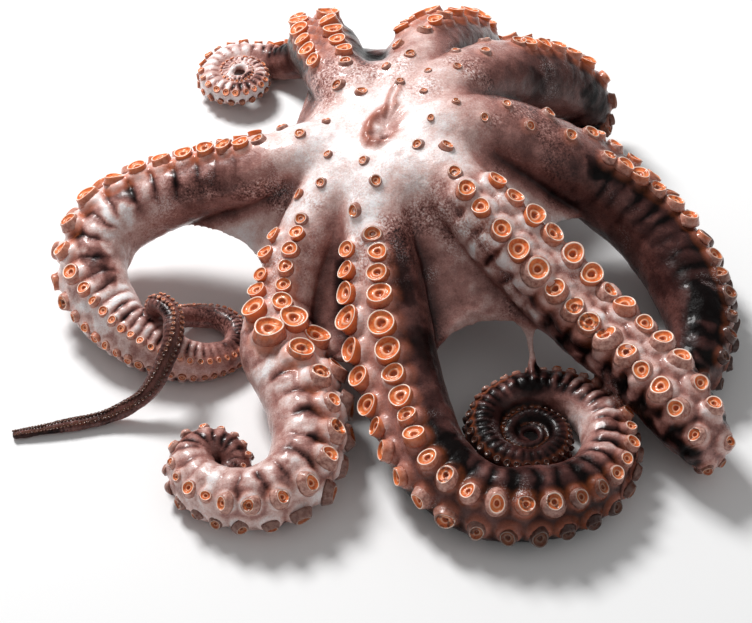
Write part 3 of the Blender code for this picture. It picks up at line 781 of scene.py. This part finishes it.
# Ribs run down each flank from the suckers, with narrow grooves between them
FLANK_START = (0.45, 0.80)  # angles round the arm from the side of the suckers
FLANK_END = (1.3, 2.1)
LOBE_LEVEL = 0.75  # lobes above this rise and the rest sinks
LUMP_HEIGHT = 0.35  # in mm, as the ribs' depth is
flank = smooth_step(*FLANK_START, np.abs(around)) * (1 - smooth_step(*FLANK_END, np.abs(around)))
varied = np.clip(0.75 + 0.6 * layered(points, *RIB_CHANGE), 0.2, 1.3)
grooves = (1 - lobe) * flank * on_arm * np.clip(rib_depth, 0, 1) * varied
lumps = layered(points, *LUMPS) * (1 + 0.5 * rib_depth)
lift = (lobe - LOBE_LEVEL) * rib_depth * MM * flank * on_arm * varied + lumps * LUMP_HEIGHT * MM

# Each small sucker beside the mouth stands on a slight swelling
SWELLING = 0.22  # as a share of the sucker's radius, like its reach
SWELLING_REACH = 1.5
sparse = [s for s in all_suckers if s.sparse]
centres = np.array([s.place for s in sparse])
sizes = np.array([s.radius for s in sparse])
for start in range(0, len(points), BATCH):
    some = points[start:start + BATCH]
    gap = np.linalg.norm(some[:, None] - centres[None], axis=2) / sizes
    lift[start:start + BATCH] += (SWELLING * sizes * np.exp(-((gap / SWELLING_REACH) ** 4))).sum(1)

# The skin is sunk between the back and back left arms, and painted shade darkens the hollow
RECESS = (-3 * MM, 66 * MM)
RECESS_SIZE = (10 * MM, 9 * MM)
RECESS_DEPTH = 3.5 * MM
RECESS_FLOOR = 40 * MM  # skin below this level stays as it is
recess_x = (points[:, 0] - RECESS[0]) / RECESS_SIZE[0]
recess_y = (points[:, 1] - RECESS[1]) / RECESS_SIZE[1]
recess = np.where(points[:, 2] > RECESS_FLOOR, np.exp(-(recess_x**2) - recess_y**2), 0)
points[:, 2] -= RECESS_DEPTH * recess

# The mouth is a puckered hollow with a folded lip, a lump inside and a deeper slit at the front
MOUTH_LEVEL = 80 * MM  # the mouth's forms touch only skin above this
MOUTH_LONG = 11.5 * MM
MOUTH_WIDE = 8.0 * MM
MOUTH_DEPTH = 4.0 * MM
MOUTH_TURN = math.radians(60)
LIP_HEIGHT = 2.6 * MM
LIP_THIN = 14  # the higher, the thinner
LIP_THICKEST = 2.5  # direction in radians
PLEAT_HEIGHT = 0.4 * MM
PLEATS = 9
SLIT = (1.0 * MM, -7.5 * MM)
SLIT_WIDE = 2.4 * MM
SLIT_DEPTH = 4.0 * MM
TONGUE = (-2.6 * MM, -0.5 * MM)
TONGUE_WIDE = 3.2 * MM
TONGUE_HEIGHT = 2.6 * MM
top = points[:, 2] > MOUTH_LEVEL
mouth_x = (points[:, 0] * math.cos(MOUTH_TURN) + points[:, 1] * math.sin(MOUTH_TURN)) / MOUTH_LONG
mouth_y = (points[:, 1] * math.cos(MOUTH_TURN) - points[:, 0] * math.sin(MOUTH_TURN)) / MOUTH_WIDE
mouth_reach = np.hypot(mouth_x, mouth_y)
mouth_turn = np.arctan2(mouth_y, mouth_x)
hollow = -MOUTH_DEPTH * np.exp(-(mouth_reach**2) * 1.8)
lip_at = 1.0 + 0.14 * np.sin(2 * mouth_turn + 0.6)
lip = LIP_HEIGHT * np.exp(-((mouth_reach - lip_at) ** 2) * LIP_THIN)
lip *= 0.52 + 0.48 * np.cos(mouth_turn - LIP_THICKEST)
tongue_gap = np.hypot(points[:, 0] - TONGUE[0], points[:, 1] - TONGUE[1]) / TONGUE_WIDE
tongue = TONGUE_HEIGHT * np.exp(-(tongue_gap**2))
pleat = PLEAT_HEIGHT * np.sin(PLEATS * mouth_turn + 2 * np.sin(2 * mouth_turn))
pleat *= np.exp(-((mouth_reach - 1) ** 2) * 4)
slit_gap = np.hypot(points[:, 0] - SLIT[0], points[:, 1] - SLIT[1]) / SLIT_WIDE
slit = -SLIT_DEPTH * np.exp(-(slit_gap**2))
points[:, 2] += np.where(top, hollow + lip + tongue + pleat + slit, 0)

# A thin fold of skin runs from the mouth towards the back and loops round
FOLD = ((0.5, 8.5), (1.5, 13), (2.5, 19), (5, 27), (9, 30), (8.5, 24), (6, 18), (6.5, 13))
FOLD_WIDE = 1.2 * MM
FOLD_HEIGHT = 1.3 * MM
fold = np.zeros(len(points))
for (x0, y0), (x1, y1) in zip(FOLD, FOLD[1:]):
    start, step = np.array([x0, y0]) * MM, np.array([x1 - x0, y1 - y0]) * MM
    t = np.clip(((points[:, :2] - start) @ step) / (step @ step), 0, 1)
    gap = np.linalg.norm(points[:, :2] - start - t[:, None] * step, axis=1) / FOLD_WIDE
    fold = np.maximum(fold, np.exp(-(gap**2)))
fold = np.where(top, fold, 0)
lift += FOLD_HEIGHT * fold

points += outward * lift[:, None]
points[:, 2] = np.maximum(points[:, 2], 0.0)
mesh.vertices.foreach_set("co", points.astype(np.float32).ravel())
mesh.update()

# Tone of the skin at each point
ORAL_SIDE = (0.35, 1.1)  # angles round the arm where the suckers' side gives way to the flank
UNDERSIDE = (1.5, 2.3)
UNDER_TONE = 0.42
PALE_AND_SHEEN_TONE = 0.93
MOUTH_SHADE_TONE = 0.66
LIP_TONE = 0.50
SLIT_SHADE_TONE = 0.05
FOLD_TONE = 0.56
WEB_FROM = (45 * MM, 75 * MM)  # from the mouth
PALE_TO = (24 * MM, 58 * MM)
PEPPER_FROM = (24 * MM, 45 * MM)
PEPPER_TO = (80 * MM, 120 * MM)
centres = np.array([s.place for s in all_suckers])
sizes = np.array([s.radius for s in all_suckers])
closeness = np.empty(len(points))
for start in range(0, len(points), BATCH):
    some = points[start:start + BATCH]
    gap = (some**2).sum(1)[:, None] - 2 * some @ centres.T + (centres**2).sum(1)
    closeness[start:start + BATCH] = (np.sqrt(np.maximum(gap, 0)) / sizes).min(1)
near_sucker = 1 - smooth_step(1.0, 2.0, closeness)
oral = 1 - smooth_step(*ORAL_SIDE, np.abs(around))
under = smooth_step(*UNDERSIDE, np.abs(around))
blotch = smooth_step(0.12, 0.42, layered(points, *BLOTCHES)) * (1 - under)
tone = blend(flank_tone, oral_tone, oral)
tone = blend(tone, UNDER_TONE, 0.5 * under)
web_share = (1 - on_arm) * smooth_step(*WEB_FROM, to_mouth)
tone = blend(tone, web_tone, web_share)
everywhere = np.full(len(points), 0.5)
tone = smoothed(tone[:, None], edges, everywhere, 25)[:, 0]
tone += 0.10 * layered(points, *CLOUDS)
tone -= 0.34 * blotch * blotches * (1 - oral) * (1 - web_share)
# Darker in the grooves between the ribs: painted shade, deepened by the arm's own dark stripes where
# the arm is blotchy
tone -= (0.12 + 0.45 * blotches) * grooves
# Painted light and shade: the skin is painted paler where it bulges out and darker where it dips in
raised = ((points - smoothed(points, edges, everywhere, 30)) * outward).sum(1) / MM
tone += 0.22 * np.clip(raised, -1, 1)
tone = blend(tone, oral_tone, 0.4 * near_sucker)
# Painted shade darkens the sunk recess
tone -= 0.36 * np.minimum(1.4 * recess, 1)
# Painted shade in the creases between the knobby mounds, away from the suckers
knobby = np.clip(rib_depth - 0.8, 0, 1) * on_arm * (1 - under)
crease_shade = smooth_step(1.3, 1.9, closeness) * smooth_step(-0.3, 0.3, layered(points, *CREASES))
tone -= 0.30 * knobby * crease_shade
crown_reach = to_mouth + 10 * MM * layered(points, *CROWN_EDGE)
crown_reach += 0.10 * points[:, 0] + 0.20 * np.maximum(points[:, 1], 0)
# Pale crown: the skin's own paleness together with a painted sheen
pale = 1 - smooth_step(*PALE_TO, crown_reach)
tone = blend(tone, PALE_AND_SHEEN_TONE, 0.9 * pale)
# Painted shade: the mouth's hollow is greyer than the crown round it, and paler as its lump rises
in_mouth = np.where(top, np.exp(-((mouth_reach / 1.25) ** 6)), 0)
tone = blend(tone, MOUTH_SHADE_TONE + 0.10 * tongue / MM, 0.85 * in_mouth)
lip_share = np.where(top, np.clip(lip / (1.6 * MM), 0, 1), 0)
tone = blend(tone, LIP_TONE, 0.9 * lip_share)
# Painted shade: the mouth's deep slit is near black
tone = blend(tone, SLIT_SHADE_TONE, np.where(top, np.exp(-((slit_gap / 0.8) ** 2)), 0))
tone = blend(tone, FOLD_TONE, 0.8 * fold)
pepper = smooth_step(*PEPPER_FROM, crown_reach) * (1 - smooth_step(*PEPPER_TO, crown_reach))
clusters = smooth_step(-0.1, 0.5, layered(points, *CLUSTERS))
pepper = 0.15 + 0.85 * pepper * clusters * (1 - pale)
pepper *= 1 - 0.5 * near_sucker
pepper *= 1 - 0.5 * web_share
set_value(mesh, "tone", np.clip(tone, 0, 1))
set_value(mesh, "warmth", np.clip(near_sucker * warmth + 0.35 * lip_share + 0.3 * fold, 0, 1))
set_value(mesh, "pepper", pepper)
mesh.shade_smooth()

# The rings of an open cup, as share of its radius and level: a wall, a thin rim, a sloping dish, a
# raised inner ring and a hole
CUP = (
    (1.06, -0.10), (0.99, 0.14), (0.95, 0.32), (0.95, 0.48), (0.985, 0.60), (1.01, 0.68),
    (1.0, 0.74), (0.96, 0.77), (0.91, 0.75), (0.87, 0.67), (0.79, 0.60), (0.68, 0.55),
    (0.57, 0.54), (0.48, 0.57), (0.41, 0.58), (0.35, 0.53), (0.29, 0.42), (0.18, 0.33),
)
# The same rings on a cup that has closed to a knob of flesh
CLOSED = (
    (1.30, -0.14), (1.20, 0.11), (1.10, 0.31), (1.02, 0.47), (0.95, 0.60), (0.87, 0.68),
    (0.80, 0.73), (0.74, 0.745), (0.68, 0.73), (0.63, 0.66), (0.56, 0.58), (0.48, 0.52),
    (0.40, 0.50), (0.33, 0.52), (0.28, 0.52), (0.24, 0.47), (0.19, 0.36), (0.12, 0.27),
)

# How the cups vary. Where there are two values, the second is added by a cup that is closed
TILT_SPREAD = (0.10, 0.14)
SIZE_SPREAD = (0.07, 0.09)
CLOSED_SPREAD = 0.15
SPARSE_CLOSED = 0.65  # the least that a sucker beside the mouth is closed
STRETCH = (-0.09, 0.07)
OVAL = 0.035
LOBED = 0.025
WAVE = 0.05
WAVE_FROM = 0.3  # the rings above this level wave
CUP_FLOOR = 0.2 * MM


def add_cup(shape, sucker, place, axis, sides, keep, shade):
    """One sucker, slightly tilted, stretched and uneven."""
    tilt = axis + (TILT_SPREAD[0] + TILT_SPREAD[1] * sucker.closed) * rng.normal(size=3)
    basis = frame_of(tilt / np.linalg.norm(tilt), sucker.tangent)
    closed = max(sucker.closed, SPARSE_CLOSED * sucker.sparse) + CLOSED_SPREAD * rng.normal()
    closed = float(np.clip(closed, 0, 1))
    stretch = 1 + rng.uniform(*STRETCH)
    spread = SIZE_SPREAD[0] + SIZE_SPREAD[1] * sucker.closed
    size = sucker.radius * (1 + spread * rng.uniform(-1, 1))
    phase = rng.uniform(0, 2 * math.pi, 3)
    turn = np.arange(sides) * 2 * math.pi / sides
    uneven = 1 + OVAL * np.sin(2 * turn + phase[0]) + LOBED * np.sin(3 * turn + phase[1])
    wave = WAVE * np.sin(2 * turn + phase[2])
    rings = []
    part = []
    for k in keep:
        share, level = blend(np.array(CUP[k]), np.array(CLOSED[k]), closed)
        local = np.stack([np.cos(turn) * stretch, np.sin(turn) / stretch, 0 * turn], axis=1)
        local *= (share * size * uneven)[:, None]
        local[:, 2] = size * (level + wave * (level > WAVE_FROM))
        rings.append(place + local @ basis)
        part += [k / (len(CUP) - 1)] * sides
    points, faces = loft(rings)
    part += [0.0, 1.0]
    points[:, 2] = np.maximum(points[:, 2], CUP_FLOOR)
    stain = rng.uniform(0, 1) * (0.5 + 0.5 * closed)
    shape.add(points, faces, part=np.array(part), shade=shade, stain=stain, fleshy=closed)


SPARSE_SHADE = 0.55
DOWN_SHADE = 0.42  # of a cup that faces down
FACING_UP = (-0.1, 0.75)
BRIGHT_SKIN = (0.02, 0.5)


def cup_shade(sucker, name):
    """How bright a cup is: painted shade where it faces away from the light, down and to the right,
    and darker where the skin round it is dark.
    """
    if sucker.sparse:
        return SPARSE_SHADE
    table = np.array(LOOKS[name])
    tone = np.interp(sucker.along, table[:, 0] * MM, table[:, 1])
    # Painted shade: cups facing down and to the right are darker
    lit = smooth_step(*FACING_UP, sucker.axis[2] - 0.25 * sucker.axis[0])
    shade = (DOWN_SHADE + (1 - DOWN_SHADE) * lit) * smooth_step(*BRIGHT_SKIN, tone)
    return float(np.clip(shade, 0, 1))


# Kinds of cup: the radius above which each is used, its piece, its sides and its rings
CUP_KINDS = (
    (3.2 * MM, "suckers_large", 30, tuple(range(len(CUP)))),
    (1.8 * MM, "suckers_small", 18, (0, 2, 4, 5, 7, 8, 9, 11, 13, 14, 16)),
    (0.0, "suckers_small", 10, (0, 2, 5, 7, 9, 12, 16)),
)
tree = BVHTree.FromPolygons(points.tolist(), [list(face.vertices) for face in mesh.polygons])
SEEK = 25 * MM
SUNK = 0.35  # share of its radius that a sucker beside the mouth sits below the skin
LEANING = 0.35  # suckers that face up more than this lean further up and back
LEAN = np.array([0.0, 0.15, 0.45])
cups = {"suckers_large": Shape(), "suckers_small": Shape()}
for name in arms:
    for sucker in suckers[name]:
        place = sucker.place + sucker.stand * sucker.radius * sucker.axis
        axis = sucker.axis
        if sucker.sparse:
            hit, normal, _, _ = tree.ray_cast(Vector(place + SEEK * axis), Vector(-axis))
            axis = unit(axis + np.array(normal))
            place = np.array(hit) - SUNK * sucker.radius * axis
        elif axis[2] > LEANING:
            axis = unit(axis + LEAN)
        kind, sides, keep = next(row[1:] for row in CUP_KINDS if sucker.radius > row[0])
        add_cup(cups[kind], sucker, place, axis, sides, keep, cup_shade(sucker, name))
cup_objects = [shape.make(name) for name, shape in cups.items()]

WET_IOR = 1.36
COAT_ROUGHNESS = 0.10
FLESH_RADIUS = (1.0, 0.45, 0.3)  # how far red, green and blue light pass, by the scale
FLESH_SCALE = 2.0 * MM


class Nodes:
    """Short calls for a material's nodes."""

    def __init__(self, name):
        self.material = bpy.data.materials.new(name)
        self.material.use_nodes = True
        self.tree = self.material.node_tree
        self.shader = self.tree.nodes["Principled BSDF"]

    def node(self, kind, **settings):
        made = self.tree.nodes.new(kind)
        for name, value in settings.items():
            setattr(made, name, value)
        return made

    def put(self, node, values):
        """Set or link a node's inputs, by name or number."""
        for key, value in values.items():
            if isinstance(value, bpy.types.NodeSocket):
                self.tree.links.new(value, node.inputs[key])
            else:
                node.inputs[key].default_value = value

    def value(self, name):
        return self.node("ShaderNodeAttribute", attribute_name=name).outputs["Fac"]

    def noise(self, scale, detail, rough):
        made = self.node("ShaderNodeTexNoise")
        place = self.node("ShaderNodeTexCoord").outputs["Object"]
        self.put(made, {"Vector": place, "Scale": scale, "Detail": detail, "Roughness": rough})
        return made.outputs["Fac"]

    def math(self, operation, a, b, c=0.0, clamp=False):
        made = self.node("ShaderNodeMath", operation=operation, use_clamp=clamp)
        self.put(made, {0: a, 1: b, 2: c})
        return made.outputs[0]

    def ramp(self, value, low, high):
        """0 below low, 1 above high and smooth between."""
        made = self.node("ShaderNodeMapRange", interpolation_type="SMOOTHSTEP")
        self.put(made, {"Value": value, "From Min": low, "From Max": high})
        return made.outputs["Result"]

    def colors(self, value, stops):
        """A run of colours along value."""
        made = self.node("ShaderNodeValToRGB")
        self.put(made, {"Fac": value})
        elements = made.color_ramp.elements
        while len(elements) < len(stops):
            elements.new(0.5)
        for element, (place, color) in zip(elements, stops):
            element.position = place
            element.color = color
        return made.outputs["Color"]

    def mix(self, share, a, b):
        """Two colours mixed. A mix node has its colours at inputs 6 and 7 and output 2."""
        made = self.node("ShaderNodeMix", data_type="RGBA")
        self.put(made, {0: share, 6: a, 7: b})
        return made.outputs[2]

    def bump(self, height, distance, strength, below=None):
        made = self.node("ShaderNodeBump")
        self.put(made, {"Height": height, "Distance": distance, "Strength": strength})
        if below is not None:
            self.put(made, {"Normal": below})
        return made.outputs["Normal"]

    def finish(self, color, roughness, normal, specular, coat, flesh):
        self.put(self.shader, {
            "Base Color": color,
            "Roughness": roughness,
            "Normal": normal,
            "Specular IOR Level": specular,
            "Coat Weight": coat,
            "Coat Roughness": COAT_ROUGHNESS,
            "Coat IOR": WET_IOR,
            "IOR": WET_IOR,
            "Subsurface Weight": flesh,
            "Subsurface Radius": FLESH_RADIUS,
            "Subsurface Scale": FLESH_SCALE,
        })
        return self.material


def srgb(red, green, blue):
    """A colour given as 0 to 255 screen values."""
    values = []
    for value in (red, green, blue):
        value /= 255
        values.append(value / 12.92 if value <= 0.04045 else ((value + 0.055) / 1.055) ** 2.4)
    return (*values, 1.0)


TONES = (
    (0.0, srgb(10, 5, 5)), (0.2, srgb(58, 32, 30)), (0.4, srgb(114, 72, 66)),
    (0.6, srgb(166, 118, 110)), (0.8, srgb(211, 179, 172)), (1.0, srgb(240, 235, 235)),
)
WARM_COLOR = srgb(208, 108, 60)
GLINT_COLOR = srgb(226, 220, 220)
WALL_COLORS = (srgb(168, 84, 52), srgb(232, 124, 62))
DISH_COLORS = (srgb(212, 96, 42), srgb(232, 136, 78))
RIM_AND_HIGHLIGHT_COLOR = srgb(250, 226, 210)
RING_COLOR = srgb(246, 200, 170)
HOLE_SHADE_COLOR = srgb(176, 84, 46)
STAIN_COLOR = srgb(84, 38, 24)
OUTSIDE_COLORS = (srgb(150, 98, 86), srgb(206, 160, 146))
DULL_AND_SHADE_COLOR = srgb(36, 18, 16)


def skin_material():
    """Mottled skin: tone sets its colour, with pepper, warm stains and painted highlights as glints
    over it.
    """
    n = Nodes("cooked_skin_look")
    fine = n.noise(800, 4, 0.7)
    grain = n.noise(1400, 3, 0.6)
    pepper = n.math("MULTIPLY", n.math("SUBTRACT", fine, 0.53), n.value("pepper"))
    tone = n.value("tone")
    mottle = n.math("MULTIPLY_ADD", n.math("SUBTRACT", grain, 0.5), 0.13, pepper)
    mottle = n.math("MULTIPLY_ADD", n.math("SUBTRACT", n.noise(150, 4, 0.6), 0.5), 0.18, mottle)
    strength = n.math("MULTIPLY_ADD", n.ramp(tone, 0.0, 0.6), 1.7, 0.3)
    base = n.colors(n.math("MULTIPLY_ADD", mottle, strength, tone), TONES)
    warmth = n.math("MULTIPLY", n.value("warmth"), n.ramp(n.noise(120, 4, 0.6), 0.25, 0.6))
    base = n.mix(n.math("MULTIPLY", warmth, 0.75), base, WARM_COLOR)
    # Painted highlight: small pale glints mixed into the colour in patches, none on the darkest skin
    painted_glints = n.math("MULTIPLY", n.ramp(n.noise(38, 2, 0.5), 0.58, 0.74), n.ramp(grain, 0.52, 0.62))
    painted_glints = n.math("MULTIPLY", painted_glints, n.ramp(tone, 0.03, 0.15))
    base = n.mix(n.math("MULTIPLY", painted_glints, 0.4), base, GLINT_COLOR)
    rough = n.math("MULTIPLY_ADD", fine, 0.3, 0.16)
    normal = n.bump(n.noise(420, 5, 0.6), 0.5 * MM, 0.7)
    normal = n.bump(n.noise(1300, 3, 0.6), 0.25 * MM, 0.5, normal)
    glossy = n.ramp(tone, 0.0, 0.5)
    specular = n.math("MULTIPLY_ADD", glossy, 0.27, 0.08)
    coat = n.math("MULTIPLY_ADD", glossy, 0.25, 0.15)
    return n.finish(base, rough, normal, specular, coat, 0.06)


def sucker_material():
    """Suckers: part runs from 0 at the foot of a cup's wall to 1 in its hole."""
    n = Nodes("sucker_look")
    part = n.value("part")
    streak = n.noise(500, 4, 0.6)
    wall = n.mix(n.ramp(part, 0.0, 0.28), *WALL_COLORS)
    dish = n.mix(n.ramp(streak, 0.35, 0.65), *DISH_COLORS)
    color = n.mix(n.ramp(part, 0.46, 0.54), wall, dish)
    # The pale rim: the rim's own pale flesh with a painted highlight
    rim = n.math("MULTIPLY", n.ramp(part, 0.33, 0.39), n.ramp(part, 0.52, 0.45))
    color = n.mix(rim, color, RIM_AND_HIGHLIGHT_COLOR)
    ring = n.math("MULTIPLY", n.ramp(part, 0.70, 0.76), n.ramp(part, 0.90, 0.84))
    color = n.mix(n.math("MULTIPLY", ring, 0.6), color, RING_COLOR)
    # Painted shade: darker in the cup's hole
    color = n.mix(n.ramp(part, 0.88, 0.98), color, HOLE_SHADE_COLOR)
    spots = n.ramp(n.noise(260, 4, 0.6), 0.50, 0.60)
    stain = n.math("MULTIPLY", n.ramp(n.value("stain"), 0.3, 0.75), spots)
    color = n.mix(n.math("MULTIPLY", stain, 0.8), color, STAIN_COLOR)
    skin = n.mix(n.ramp(streak, 0.3, 0.7), *OUTSIDE_COLORS)
    outside = n.math("MULTIPLY", n.value("fleshy"), n.ramp(part, 0.42, 0.30))
    color = n.mix(n.math("MULTIPLY", outside, 1.4, clamp=True), color, skin)
    # Painted shade on cups facing away from the light, together with the darker colour of cups on
    # dark skin
    dull_and_shaded = n.mix(0.93, color, DULL_AND_SHADE_COLOR)
    color = n.mix(n.ramp(n.value("shade"), 0.15, 0.75), dull_and_shaded, color)
    rough = n.math("MULTIPLY_ADD", streak, 0.2, 0.2)
    normal = n.bump(n.noise(900, 4, 0.6), 0.3 * MM, 0.6)
    return n.finish(color, rough, normal, 0.4, 0.4, 0.08)


skin.data.materials.append(skin_material())
cup_look = sucker_material()
for cup_object in cup_objects:
    cup_object.data.shade_smooth()
    cup_object.data.materials.append(cup_look)

for piece in [skin, *cup_objects]:
    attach(piece, "root")
    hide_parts("octopus")


def look_at(obj, target):
    aim = Vector(target) - obj.location
    obj.rotation_mode = "QUATERNION"
    obj.rotation_quaternion = aim.to_track_quat("-Z", "Y")


# The studio, in metres: a pale floor, two softboxes, a faint sky and the photo's camera
FLOOR_HALF = 3.0
FLOOR_COLOR = (0.85, 0.85, 0.85, 1)
FLOOR_ROUGHNESS = 0.9
LIGHTS = (("key", (-0.55, 0.75, 1.15), 0.4, 27), ("fill", (0.9, -0.7, 0.9), 1.2, 1.5))
LIT = (0, -0.03, 0.03)
SKY_COLOR = (1, 1, 1, 1)
SKY_STRENGTH = 0.32
CAMERA_PLACE = (-0.0035, -0.950, 0.914)
CAMERA_TARGET = (-0.0035, -0.066, 0.030)
CAMERA_LENS = 119.7

corners = [(-1, -1), (1, -1), (1, 1), (-1, 1)]
floor_mesh = bpy.data.meshes.new("floor")
floor_mesh.from_pydata([(FLOOR_HALF * x, FLOOR_HALF * y, 0) for x, y in corners], [], [(0, 1, 2, 3)])
floor = linked("floor", floor_mesh)
floor_look = Nodes("pale_floor")
floor_look.put(floor_look.shader, {"Base Color": FLOOR_COLOR, "Roughness": FLOOR_ROUGHNESS})
floor.data.materials.append(floor_look.material)

for name, place, width, watts in LIGHTS:
    light = bpy.data.lights.new(name, "AREA")
    light.shape = "SQUARE"
    light.size = width
    light.energy = watts
    lamp = linked(name, light)
    lamp.location = place
    look_at(lamp, LIT)
world = bpy.data.worlds.new("studio")
world.use_nodes = True
sky = world.node_tree.nodes["Background"]
sky.inputs["Color"].default_value = SKY_COLOR
sky.inputs["Strength"].default_value = SKY_STRENGTH
bpy.context.scene.world = world
bpy.context.scene.view_settings.view_transform = "Standard"

camera_data = bpy.data.cameras.new("camera")
camera_data.sensor_width = 36
camera_data.lens = CAMERA_LENS
camera_data.clip_start = 0.05
camera_data.clip_end = 20
camera = linked("camera", camera_data)
camera.location = CAMERA_PLACE
look_at(camera, CAMERA_TARGET)
bpy.context.scene.camera = camera

bpy.context.view_layer.update()
